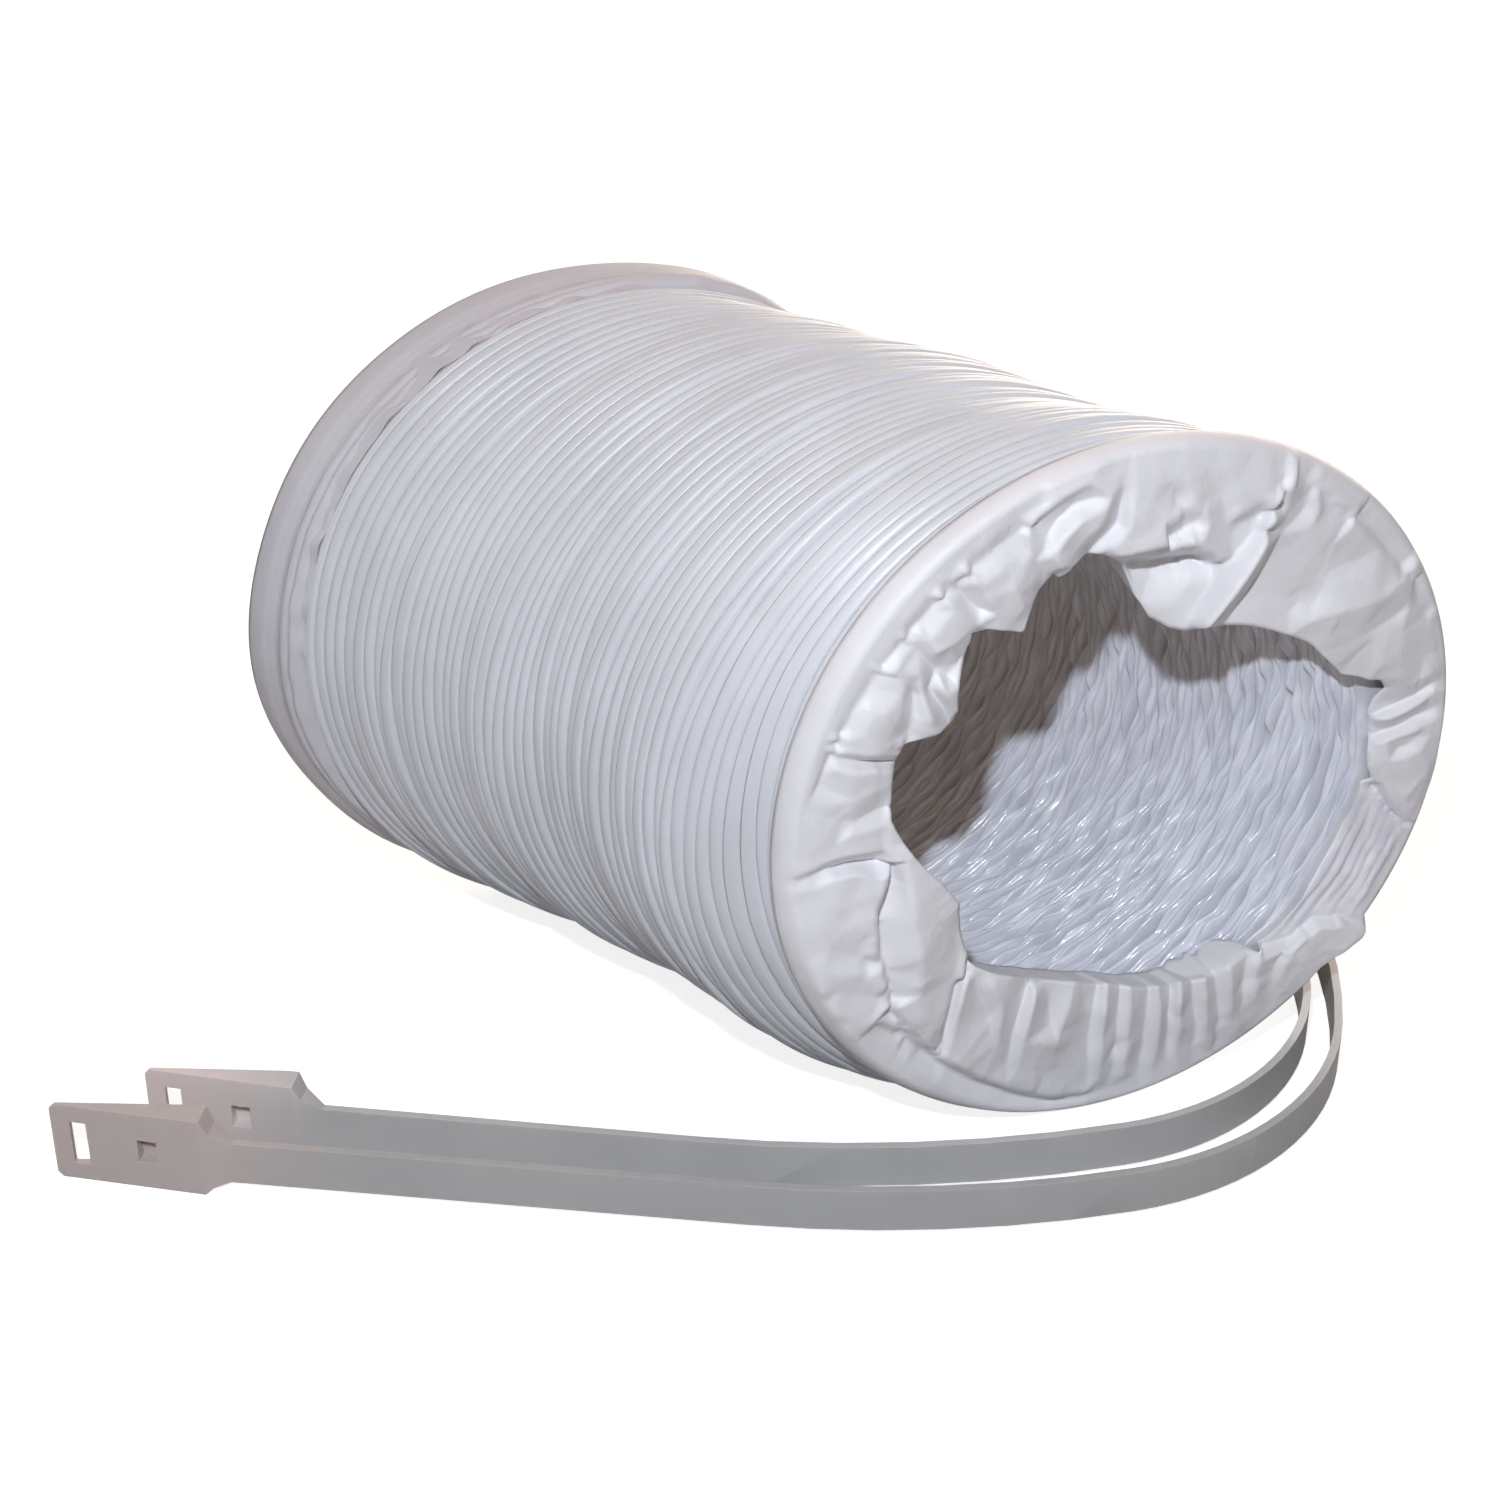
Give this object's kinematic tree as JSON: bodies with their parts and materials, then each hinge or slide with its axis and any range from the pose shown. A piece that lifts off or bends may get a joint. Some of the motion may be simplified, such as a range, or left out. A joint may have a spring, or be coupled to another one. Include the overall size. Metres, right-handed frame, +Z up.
{
  "type": "flexible air duct",
  "caption": "Pleated white film hose on a helical spring wire, stored pushed together, with an open rear sleeve, a tucked-in front lip and loose nylon duct ties.",
  "frame": {"origin": "centre of the rear mouth, on the axis of the rear sleeve", "axes": "+X along the rings' normal, from the rear mouth to the front mouth; +Y the way the stack drifts sideways; +Z up, square to the floor that every ring stands on"},
  "size_m": [0.2002, 0.2019, 0.104],
  "materials": {
    "film": "thin laminated vinyl film, satin, white",
    "wire": "drawn spring steel wire",
    "nylon": "natural nylon, slightly translucent"
  },
  "bodies": {
    "front_end": {"front_cuff": "film", "film_1": "film", "wire_1": "wire"},
    "hose_2": {"film_2": "film", "wire_2": "wire"},
    "hose_3": {"film_3": "film", "wire_3": "wire"},
    "hose_4": {"film_4": "film", "wire_4": "wire"},
    "hose_5": {"film_5": "film", "wire_5": "wire"},
    "hose_6": {"film_6": "film", "wire_6": "wire"},
    "hose_7": {"film_7": "film", "wire_7": "wire"},
    "hose_8": {"film_8": "film", "wire_8": "wire"},
    "hose_9": {"film_9": "film", "wire_9": "wire"},
    "hose_10": {"film_10": "film", "wire_10": "wire"},
    "hose_11": {"film_11": "film", "wire_11": "wire"},
    "hose_12": {"film_12": "film", "wire_12": "wire"},
    "hose_13": {"film_13": "film", "wire_13": "wire"},
    "hose_14": {"film_14": "film", "wire_14": "wire"},
    "hose_15": {"film_15": "film", "wire_15": "wire"},
    "hose_16": {"film_16": "film", "wire_16": "wire", "rear_cuff": "film"},
    "rear_tie": {"rear_tie": "nylon"},
    "front_tie": {"front_tie": "nylon"}
  },
  "joints": [
    {"name": "extend", "type": "slide", "parent": "front_end", "child": "hose_2", "axis": [-1, 0, 0], "range_m": [0, 0.075]},
    {"name": "extend_3", "type": "slide", "parent": "hose_2", "child": "hose_3", "axis": [-1, 0, 0], "range_m": [0, 0.075]},
    {"name": "extend_4", "type": "slide", "parent": "hose_3", "child": "hose_4", "axis": [-1, 0, 0], "range_m": [0, 0.075]},
    {"name": "bend", "type": "hinge", "parent": "hose_4", "child": "hose_5", "pos_m": [0.0732, 0.03548, 0.052], "axis": [0, 1, 0], "range_deg": [0, 30]},
    {"name": "extend_6", "type": "slide", "parent": "hose_5", "child": "hose_6", "axis": [-1, 0, 0], "range_m": [0, 0.075]},
    {"name": "extend_7", "type": "slide", "parent": "hose_6", "child": "hose_7", "axis": [-1, 0, 0], "range_m": [0, 0.075]},
    {"name": "extend_8", "type": "slide", "parent": "hose_7", "child": "hose_8", "axis": [-1, 0, 0], "range_m": [0, 0.075]},
    {"name": "bend_9", "type": "hinge", "parent": "hose_8", "child": "hose_9", "pos_m": [0.0528, 0.02365, 0.052], "axis": [0, 1, 0], "range_deg": [0, 30]},
    {"name": "extend_10", "type": "slide", "parent": "hose_9", "child": "hose_10", "axis": [-1, 0, 0], "range_m": [0, 0.075]},
    {"name": "extend_11", "type": "slide", "parent": "hose_10", "child": "hose_11", "axis": [-1, 0, 0], "range_m": [0, 0.075]},
    {"name": "extend_12", "type": "slide", "parent": "hose_11", "child": "hose_12", "axis": [-1, 0, 0], "range_m": [0, 0.075]},
    {"name": "bend_13", "type": "hinge", "parent": "hose_12", "child": "hose_13", "pos_m": [0.0324, 0.01183, 0.052], "axis": [0, 1, 0], "range_deg": [0, 30]},
    {"name": "extend_14", "type": "slide", "parent": "hose_13", "child": "hose_14", "axis": [-1, 0, 0], "range_m": [0, 0.075]},
    {"name": "extend_15", "type": "slide", "parent": "hose_14", "child": "hose_15", "axis": [-1, 0, 0], "range_m": [0, 0.075]},
    {"name": "extend_16", "type": "slide", "parent": "hose_15", "child": "hose_16", "axis": [-1, 0, 0], "range_m": [0, 0.075]},
    {"name": "rear_tie_away", "type": "slide", "parent": "front_end", "child": "rear_tie", "axis": [1, 0, 0], "range_m": [0, 0.15]},
    {"name": "front_tie_away", "type": "slide", "parent": "rear_tie", "child": "front_tie", "axis": [1, 0, 0], "range_m": [0, 0.15]}
  ],
  "couplings": [
    {"joint": "extend_3", "follows": "extend", "ratio": 1},
    {"joint": "extend_4", "follows": "extend", "ratio": 1},
    {"joint": "extend_6", "follows": "extend", "ratio": 1},
    {"joint": "extend_7", "follows": "extend", "ratio": 1},
    {"joint": "extend_8", "follows": "extend", "ratio": 1},
    {"joint": "bend_9", "follows": "bend", "ratio": 1},
    {"joint": "extend_10", "follows": "extend", "ratio": 1},
    {"joint": "extend_11", "follows": "extend", "ratio": 1},
    {"joint": "extend_12", "follows": "extend", "ratio": 1},
    {"joint": "bend_13", "follows": "bend", "ratio": 1},
    {"joint": "extend_14", "follows": "extend", "ratio": 1},
    {"joint": "extend_15", "follows": "extend", "ratio": 1},
    {"joint": "extend_16", "follows": "extend", "ratio": 1}
  ]
}
